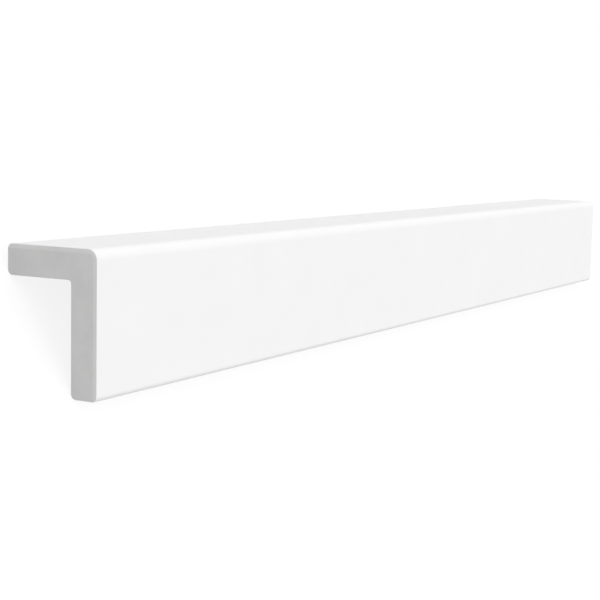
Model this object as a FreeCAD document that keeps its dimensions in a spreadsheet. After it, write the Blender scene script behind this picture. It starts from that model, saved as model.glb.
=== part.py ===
"""Corner guard moulding: one straight length of a moulded angle with unequal legs.

The wide leg and the narrow leg share one wall thickness. The outer corner, the leg tips and the
inner corner are rounded, and both ends are sawn square. The piece lies on its two leg tips, with
the outer corner up, as it comes to rest on a level floor. Millimetres, +X along the length.
"""
import FreeCAD, Part
import os
import Sketcher

NODE = "corner_guard"

# Driving dimensions
SIZES = {
    "stock_length": 400.0,
    "wide_leg": 40.0,
    "narrow_leg": 30.0,
    "wall": 8.5,
    "outer_radius": 3.0,
    "tip_radius": 1.5,
    "inner_radius": 1.0,
}

doc = FreeCAD.newDocument("corner_guard_moulding")
sheet = doc.addObject("Spreadsheet::Sheet", "Sizes")
for row, (alias, value) in enumerate(SIZES.items(), start=1):
    sheet.set(f"A{row}", str(value))
    sheet.setAlias(f"A{row}", alias)
doc.recompute()

body = doc.addObject("PartDesign::Body", "CornerGuard")
body.Label = NODE


# Section: the sharp outline of the angle, with its outer corner on the sketch's origin.
# The wide leg hangs down the vertical axis and the narrow leg runs along the horizontal one.
def section_corners():
    """The six corners of the sharp outline, clockwise from the outer corner."""
    wide, narrow, wall = sheet.wide_leg, sheet.narrow_leg, sheet.wall
    return {
        "outer": (0, 0),
        "narrow_tip_out": (narrow, 0),
        "narrow_tip_in": (narrow, -wall),
        "inner": (wall, -wall),
        "wide_tip_in": (wall, -wide),
        "wide_tip_out": (0, -wide),
    }


corners = section_corners()
plane = next(item for item in body.Origin.OriginFeatures if item.Role == "YZ_Plane")
section = body.newObject("Sketcher::SketchObject", "Section")
section.AttachmentSupport = [(plane, "")]
section.MapMode = "FlatFace"

points = [FreeCAD.Vector(u, v, 0) for u, v in corners.values()]
for start, end in zip(points, points[1:] + points[:1]):
    section.addGeometry(Part.LineSegment(start, end), False)

LINE_START, LINE_END, ORIGIN_POINT = 1, 2, (-1, 1)
NARROW_OUT, NARROW_TIP, NARROW_IN, WIDE_IN, WIDE_TIP, WIDE_OUT = range(len(points))
for line in range(len(points)):
    following = (line + 1) % len(points)
    section.addConstraint(Sketcher.Constraint("Coincident", line, LINE_END, following, LINE_START))
for line in (NARROW_OUT, NARROW_IN, WIDE_TIP):
    section.addConstraint(Sketcher.Constraint("Horizontal", line))
for line in (NARROW_TIP, WIDE_IN, WIDE_OUT):
    section.addConstraint(Sketcher.Constraint("Vertical", line))
section.addConstraint(Sketcher.Constraint("Coincident", NARROW_OUT, LINE_START, *ORIGIN_POINT))

# Both tips are as wide as the wall, so the wall's size is written on each.
for line, alias in (
    (NARROW_OUT, "narrow_leg"),
    (WIDE_OUT, "wide_leg"),
    (NARROW_TIP, "wall"),
    (WIDE_TIP, "wall"),
):
    index = section.addConstraint(Sketcher.Constraint("Distance", line, getattr(sheet, alias)))
    section.setExpression(f"Constraints[{index}]", f"Sizes.{alias}")

# Length: the section drawn out both ways from its plane and sawn square at each end.
length = body.newObject("PartDesign::Pad", "Length")
length.Profile = section
length.SideType = "Symmetric"
length.setExpression("Length", "Sizes.stock_length")
doc.recompute()


# Rounded corners, each a fillet along the whole length.
def long_edges(solid, names):
    """Names of the solid's lengthwise edges that run through the named corners of the section."""
    found = []
    for name in names:
        on_axis = FreeCAD.Vector(0, *corners[name])
        for number, edge in enumerate(solid.Edges, start=1):
            if edge.CenterOfMass.distanceToPoint(on_axis) < Part.Precision.confusion():
                found.append(f"Edge{number}")
    if len(found) != len(names):
        raise RuntimeError(f"expected one edge for each of {names}, found {found}")
    return found


TIP_CORNERS = ["narrow_tip_out", "narrow_tip_in", "wide_tip_in", "wide_tip_out"]
base = length
for name, at, alias in (
    ("OuterCorner", ["outer"], "outer_radius"),
    ("LegTips", TIP_CORNERS, "tip_radius"),
    ("InnerCorner", ["inner"], "inner_radius"),
):
    rounding = body.newObject("PartDesign::Fillet", name)
    rounding.Base = (base, long_edges(base.Shape, at))
    rounding.setExpression("Radius", f"Sizes.{alias}")
    doc.recompute()
    base = rounding

# Rest: the angle turns about its length until both leg tips touch the floor, and its box is
# centred on the origin. The lean is that of the line from one tip's inner corner to the other's.
LEAN = "atan2(Sizes.wide_leg - Sizes.wall; Sizes.narrow_leg - Sizes.wall)"
LOWEST = (
    f"sin({LEAN}) * (Sizes.wall - Sizes.tip_radius)"
    f" + cos({LEAN}) * (Sizes.wide_leg - Sizes.tip_radius) + Sizes.tip_radius"
)
WIDE_TIP_REACH = (
    f"sin({LEAN}) * (Sizes.wide_leg - Sizes.tip_radius)"
    f" - cos({LEAN}) * Sizes.tip_radius + Sizes.tip_radius"
)
NARROW_TIP_REACH = (
    f"cos({LEAN}) * (Sizes.narrow_leg - Sizes.tip_radius)"
    f" - sin({LEAN}) * Sizes.tip_radius + Sizes.tip_radius"
)
ALONG_LENGTH_BACKWARDS = FreeCAD.Vector(-1, 0, 0)
body.Placement = FreeCAD.Placement(FreeCAD.Vector(), FreeCAD.Rotation(ALONG_LENGTH_BACKWARDS, 1))
body.setExpression("Placement.Rotation.Angle", LEAN)
body.setExpression("Placement.Base.y", f"(({WIDE_TIP_REACH}) - ({NARROW_TIP_REACH})) / 2")
body.setExpression("Placement.Base.z", LOWEST)
doc.recompute()

# Checks before anything is written
for item in doc.Objects:
    if "Invalid" in item.State or "Error" in item.State:
        raise RuntimeError(f"{item.Label} failed to build")
solid = body.Shape
if solid.isNull() or not solid.isValid() or len(solid.Solids) != 1:
    raise RuntimeError(f"{NODE} is not one valid solid")

os.makedirs("parts", exist_ok=True)
solid.exportStep(f"parts/{NODE}.step")
box = solid.BoundBox
print(f"{NODE}: {box.XLength:.2f} x {box.YLength:.2f} x {box.ZLength:.2f} mm, {solid.Volume:.0f} mm3")
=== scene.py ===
from math import atan2, radians

import bpy
from mathutils import Matrix, Vector


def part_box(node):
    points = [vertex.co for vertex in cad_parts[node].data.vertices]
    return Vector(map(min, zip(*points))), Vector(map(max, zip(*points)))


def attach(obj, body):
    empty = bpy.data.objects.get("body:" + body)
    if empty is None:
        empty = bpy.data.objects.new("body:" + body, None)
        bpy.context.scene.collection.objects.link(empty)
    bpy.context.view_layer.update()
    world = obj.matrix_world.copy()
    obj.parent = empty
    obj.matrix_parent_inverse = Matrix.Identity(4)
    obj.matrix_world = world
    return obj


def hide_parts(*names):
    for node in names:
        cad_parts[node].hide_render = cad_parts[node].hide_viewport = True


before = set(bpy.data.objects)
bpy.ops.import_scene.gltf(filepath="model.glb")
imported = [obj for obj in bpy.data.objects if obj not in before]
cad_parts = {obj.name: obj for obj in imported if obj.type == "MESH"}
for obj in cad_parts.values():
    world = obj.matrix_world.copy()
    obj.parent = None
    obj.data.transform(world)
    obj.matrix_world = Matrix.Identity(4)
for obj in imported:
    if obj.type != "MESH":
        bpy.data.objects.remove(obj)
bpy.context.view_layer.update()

# Moulding
# One length of white rigid foam angle, extruded with a smooth, denser skin on its two outer faces
# and sawn square at both ends. It is glued over a wall's outside corner, and here it lies on its
# two leg tips with the outer corner up.
MM = 0.001
NODE = "corner_guard"
WIDE_LEG = 40 * MM
NARROW_LEG = 30 * MM
WALL = 8.5 * MM
OUTER_RADIUS = 3 * MM
TIP_RADIUS = 1.5 * MM
INNER_RADIUS = 1 * MM
END_EASE = 0.15 * MM
node_low, node_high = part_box(NODE)
LENGTH = node_high.x - node_low.x
END = LENGTH / 2
NEAR = 0.01 * MM


def pick_nothing(kind):
    """Clears the active piece's selection and sets edit mode to pick edges or faces."""
    bpy.ops.object.mode_set(mode="EDIT")
    bpy.ops.mesh.select_mode(type=kind)
    bpy.ops.mesh.select_all(action="DESELECT")
    bpy.ops.object.mode_set(mode="OBJECT")


def pick_faces(piece, wanted):
    """Selects the faces for which wanted(centre, normal) holds, and stays in edit mode."""
    pick_nothing("FACE")
    for face in piece.data.polygons:
        face.select = wanted(face.center, face.normal)
    bpy.ops.object.mode_set(mode="EDIT")


def pick_edges(piece, wanted):
    """Selects the edges for which wanted(one end, other end) holds, and stays in edit mode."""
    pick_nothing("EDGE")
    for edge in piece.data.edges:
        one, other = (piece.data.vertices[index].co for index in edge.vertices)
        edge.select = wanted(one, other)
    bpy.ops.object.mode_set(mode="EDIT")


def along(y, z):
    """A test for the lengthwise edge through one corner of the section."""

    def wanted(one, other):
        level = all(abs(point.y - y) < NEAR and abs(point.z - z) < NEAR for point in (one, other))
        return level and abs(one.x - other.x) > NEAR

    return wanted


def on_a_rim(one, other):
    """A test for the edges round both ends."""
    return all(abs(abs(point.x) - END) < NEAR for point in (one, other))


# The wide leg hangs from the outer corner, which is on the X axis, and the narrow leg is drawn
# out of its back.
bpy.ops.object.select_all(action="DESELECT")
bpy.ops.mesh.primitive_cube_add(size=1, location=(0, WALL / 2, -WIDE_LEG / 2))
moulding = bpy.context.object
moulding.name = moulding.data.name = "corner_guard_moulding"
moulding.scale = (LENGTH, WALL, WIDE_LEG)
bpy.ops.object.transform_apply(location=True, rotation=True, scale=True)
bpy.ops.object.mode_set(mode="EDIT")
bpy.ops.mesh.select_all(action="SELECT")
bpy.ops.mesh.bisect(plane_co=(0, 0, -WALL), plane_no=(0, 0, 1))
pick_faces(moulding, lambda centre, normal: normal.y > 0.5 and centre.z > -WALL)
bpy.ops.mesh.extrude_region_move(TRANSFORM_OT_translate={"value": (0, NARROW_LEG - WALL, 0)})
bpy.ops.mesh.select_all(action="SELECT")
bpy.ops.mesh.dissolve_limited(angle_limit=radians(1))

for corners, radius, segments in (
    ([(0, 0)], OUTER_RADIUS, 14),
    ([(NARROW_LEG, 0), (NARROW_LEG, -WALL), (WALL, -WIDE_LEG), (0, -WIDE_LEG)], TIP_RADIUS, 10),
    ([(WALL, -WALL)], INNER_RADIUS, 8),
):
    tests = [along(y, z) for y, z in corners]
    pick_edges(moulding, lambda one, other: any(test(one, other) for test in tests))
    bpy.ops.mesh.bevel(offset=radius, segments=segments, profile=0.5, affect="EDGES")

# The saw leaves the rims of both ends a little eased.
pick_edges(moulding, on_a_rim)
bpy.ops.mesh.bevel(offset=END_EASE, segments=2, profile=0.5, affect="EDGES")
bpy.ops.object.mode_set(mode="OBJECT")

# Rest: turned about its length until both leg tips are level, and set down where the node lies.
LEAN = atan2(WIDE_LEG - WALL, NARROW_LEG - WALL)
lean_turn = Matrix.Rotation(-LEAN, 4, "X")
turned = [lean_turn @ vertex.co for vertex in moulding.data.vertices]
middle_y = (min(point.y for point in turned) + max(point.y for point in turned)) / 2
lowest = min(point.z for point in turned)
set_down = Vector((0, (node_low.y + node_high.y) / 2 - middle_y, node_low.z - lowest))
rest_pose = Matrix.Translation(set_down) @ lean_turn
moulding.matrix_world = rest_pose
bpy.ops.object.transform_apply(location=True, rotation=True, scale=True)

bpy.ops.object.shade_smooth_by_angle(angle=radians(35))
weights = moulding.modifiers.new("even_faces", "WEIGHTED_NORMAL")
weights.keep_sharp = True
bpy.ops.object.modifier_apply(modifier=weights.name)


# The finish has two looks: the satin skin and the matt cut.
class Finish:
    """The nodes of a material or world, with short calls to add to them."""

    def __init__(self, carrier, shader="Principled BSDF"):
        self.carrier = carrier
        carrier.use_nodes = True
        self.tree = carrier.node_tree
        self.shader = self.tree.nodes[shader]

    def node(self, kind, inputs=None, **settings):
        """Adds a node. Inputs are values or other nodes' outputs, by name or number."""
        made = self.tree.nodes.new(kind)
        for name, value in settings.items():
            setattr(made, name, value)
        for key, value in (inputs or {}).items():
            self.feed(made.inputs[key], value)
        return made

    def feed(self, socket, value):
        """Sets an input to a plain value, or links another node's output to it."""
        if isinstance(value, bpy.types.NodeSocket):
            self.tree.links.new(value, socket)
        else:
            socket.default_value = value

    def section_place(self):
        """Place in millimetres in the section's frame: y from the front face, z from the top."""
        place = self.node("ShaderNodeTexCoord").outputs["Object"]
        home = rest_pose.inverted()
        turn = {"Vector": place, "Location": home.translation, "Rotation": home.to_euler()}
        square = self.node("ShaderNodeMapping", turn).outputs[0]
        in_mm = {0: square, "Scale": 1 / MM}
        return self.node("ShaderNodeVectorMath", in_mm, operation="SCALE").outputs[0]

    def vectors(self, operation, one, other):
        """Two vectors joined by one operation, part by part."""
        return self.node("ShaderNodeVectorMath", {0: one, 1: other}, operation=operation).outputs[0]

    def clouds(self, place, size_mm, detail=2.0, stretch=(1, 1, 1), fine=0.5):
        """Soft noise from 0 to 1 with features of about that size, and a share of finer ones."""
        inputs = {
            "Vector": self.vectors("MULTIPLY", place, stretch),
            "Scale": 1 / size_mm,
            "Detail": detail,
            "Roughness": fine,
        }
        return self.node("ShaderNodeTexNoise", inputs).outputs["Fac"]

    def ranged(self, value, low, high, from_low=0.3, from_high=0.7, kind="LINEAR"):
        """A value's useful range mapped to another range."""
        inputs = {
            "Value": value,
            "From Min": from_low,
            "From Max": from_high,
            "To Min": low,
            "To Max": high,
        }
        return self.node("ShaderNodeMapRange", inputs, interpolation_type=kind).outputs["Result"]

    def mixed(self, share, one, other):
        """A colour between two, by share."""
        inputs = {"Factor": share, 6: one, 7: other}
        return self.node("ShaderNodeMix", inputs, data_type="RGBA").outputs[2]

    def bump(self, height, depth_mm):
        """Relief from a height between 0 and 1."""
        inputs = {"Height": height, "Distance": depth_mm * MM, "Strength": 1.0}
        return self.node("ShaderNodeBump", inputs).outputs["Normal"]

    def looked_at(self):
        """1 where the camera sees the surface, straight, mirrored or through glass, or else 0."""
        seen = self.node("ShaderNodeLightPath").outputs
        mirrored = {0: seen["Is Camera Ray"], 1: seen["Is Glossy Ray"]}
        either = self.node("ShaderNodeMath", mirrored, operation="MAXIMUM").outputs[0]
        through = {0: either, 1: seen["Is Transmission Ray"]}
        return self.node("ShaderNodeMath", through, operation="MAXIMUM").outputs[0]


SKIN_WHITE = (0.90, 0.90, 0.90, 1)
SKIN_WHITE_DULL = (0.888, 0.888, 0.888, 1)
SKIN_CLOUDS_MM = 14
DRAW_LINES_MM = 0.8
DRAWN_LONG = (0.01, 1, 1)
SKIN_ROUGHNESS = (0.55, 0.67)
SKIN_GRAIN_MM = 0.5
SKIN_GRAIN_DEPTH_MM = 0.004
skin = Finish(bpy.data.materials.new("moulded_skin"))
place = skin.section_place()
clouded = skin.ranged(skin.clouds(place, SKIN_CLOUDS_MM, detail=3), 0, 1)
skin.feed(skin.shader.inputs["Base Color"], skin.mixed(clouded, SKIN_WHITE_DULL, SKIN_WHITE))
draw_lines = skin.clouds(place, DRAW_LINES_MM, stretch=DRAWN_LONG)
skin.feed(skin.shader.inputs["Roughness"], skin.ranged(draw_lines, *SKIN_ROUGHNESS))
skin_grain = skin.clouds(place, SKIN_GRAIN_MM)
skin.feed(skin.shader.inputs["Normal"], skin.bump(skin_grain, SKIN_GRAIN_DEPTH_MM))

CORE_WHITE = (0.855, 0.855, 0.852, 1)
CORE_WHITE_DULL = (0.785, 0.785, 0.782, 1)
RIND_WHITE = (0.915, 0.915, 0.912, 1)
RIND_WHITE_DULL = (0.865, 0.865, 0.862, 1)
CORE_ROUGHNESS = 0.78
RIND_ROUGHNESS = 0.6
CELLS_MM = 9
CELL_SLICE_MM = 189
SKIN_DEPTH_MM = 1.25
SKIN_FADE_MM = 0.15
SAW_GRAIN_MM = 0.3
SAW_GRAIN_DEPTH_MM = 0.01
cut = Finish(bpy.data.materials.new("sawn_end"))
place = cut.section_place()
radius_mm = OUTER_RADIUS / MM
outwards = cut.vectors("MULTIPLY", place, (0, -1, 1))
past_radius = cut.vectors("ADD", outwards, (0, radius_mm, radius_mm))
past_radius = cut.vectors("MAXIMUM", past_radius, (0, 0, 0))
reach = cut.node("ShaderNodeVectorMath", {0: past_radius}, operation="LENGTH").outputs["Value"]
depth = cut.node("ShaderNodeMath", {0: radius_mm, 1: reach}, operation="SUBTRACT").outputs[0]
skin_ends = (SKIN_DEPTH_MM - SKIN_FADE_MM, SKIN_DEPTH_MM + SKIN_FADE_MM)
in_skin = cut.ranged(depth, 1, 0, *skin_ends, "SMOOTHSTEP")
slice_place = cut.vectors("ADD", place, (CELL_SLICE_MM, 0, 0))
cells = cut.ranged(cut.clouds(slice_place, CELLS_MM, detail=4, fine=0.6), 0, 1)
core = cut.mixed(cells, CORE_WHITE_DULL, CORE_WHITE)
rind = cut.mixed(cells, RIND_WHITE_DULL, RIND_WHITE)
cut.feed(cut.shader.inputs["Base Color"], cut.mixed(in_skin, core, rind))
roughness = cut.ranged(in_skin, CORE_ROUGHNESS, RIND_ROUGHNESS, 0, 1)
cut.feed(cut.shader.inputs["Roughness"], roughness)
saw_grain = cut.clouds(place, SAW_GRAIN_MM)
cut.feed(cut.shader.inputs["Normal"], cut.bump(saw_grain, SAW_GRAIN_DEPTH_MM))

moulding.data.materials.clear()
moulding.data.materials.append(skin.carrier)
moulding.data.materials.append(cut.carrier)
for face in moulding.data.polygons:
    face.material_index = int(abs(face.normal.x) > 0.9)
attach(moulding, "root")
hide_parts(NODE)

# Floor
# A plain pale floor of studio paper that the moulding lies on. It throws soft light back up, and
# where it is looked at it is all but white, with the faint shadow that the legs leave on it.
FLOOR_SIZE = 8.0
FLOOR_GREY = (0.25, 0.25, 0.25, 1)
FLOOR_SEEN = (0.16, 0.16, 0.16, 1)
FLOOR_GLOW = 0.86
bpy.ops.mesh.primitive_plane_add(size=FLOOR_SIZE, location=(0, 0, node_low.z))
floor = bpy.context.object
floor.name = "floor"
paper = Finish(bpy.data.materials.new("floor_paper"))
seen = paper.looked_at()
paper.feed(paper.shader.inputs["Base Color"], paper.mixed(seen, FLOOR_GREY, FLOOR_SEEN))
paper.feed(paper.shader.inputs["Roughness"], 0.9)
paper.feed(paper.shader.inputs["Specular IOR Level"], 0)
paper.feed(paper.shader.inputs["Emission Color"], (1, 1, 1, 1))
paper.feed(paper.shader.inputs["Emission Strength"], paper.ranged(seen, 0, FLOOR_GLOW, 0, 1))
floor.data.materials.append(paper.carrier)

# Light
# A pale, even room and two large soft lamps, a high one in front and a lower one behind. Both
# long faces are bright, and the two ends lie in soft shade.
WORLD_LEVEL = 0.895
world = bpy.data.worlds.new("studio")
bpy.context.scene.world = world
room = Finish(world, "Background")
room.feed(room.shader.inputs["Color"], (1, 1, 1, 1))
room.feed(room.shader.inputs["Strength"], room.ranged(room.looked_at(), WORLD_LEVEL, 1, 0, 1))


def soft_lamp(name, place, size, power):
    """A square area lamp that faces the moulding's middle."""
    bpy.ops.object.light_add(type="AREA", location=place)
    lamp = bpy.context.object
    lamp.name = name
    lamp.data.shape = "SQUARE"
    lamp.data.size = size
    lamp.data.energy = power
    lamp.rotation_euler = (-Vector(place)).to_track_quat("-Z", "Y").to_euler()


soft_lamp("front_lamp", place=(-0.1, -1.27, 2.72), size=2, power=17.8)
soft_lamp("back_lamp", place=(-0.1, 2.91, 0.75), size=1.6, power=16.2)

# Camera
# It is placed in the section's frame, where the narrow leg is level and the wide leg hangs down:
# short of the near end, in front of the wide leg and a little above it. It then turns with the
# moulding into the rest pose.
EYE = Vector((-END - 282.35 * MM, -222.23 * MM, 30.46 * MM))
HEADING = radians(29.843)
DOWN = radians(6.795)
ROLL = radians(1.221)
LENS_MM = 83.53
SENSOR_MM = 36
NEAREST_SEEN = 10 * MM
bpy.ops.object.camera_add()
camera = bpy.context.object
aim = Matrix.Rotation(HEADING - radians(90), 4, "Z") @ Matrix.Rotation(radians(90) - DOWN, 4, "X")
camera.matrix_world = rest_pose @ Matrix.Translation(EYE) @ aim @ Matrix.Rotation(ROLL, 4, "Z")
camera.data.lens = LENS_MM
camera.data.sensor_width = SENSOR_MM
camera.data.clip_start = NEAREST_SEEN
bpy.context.scene.camera = camera
bpy.context.scene.view_settings.view_transform = "Standard"
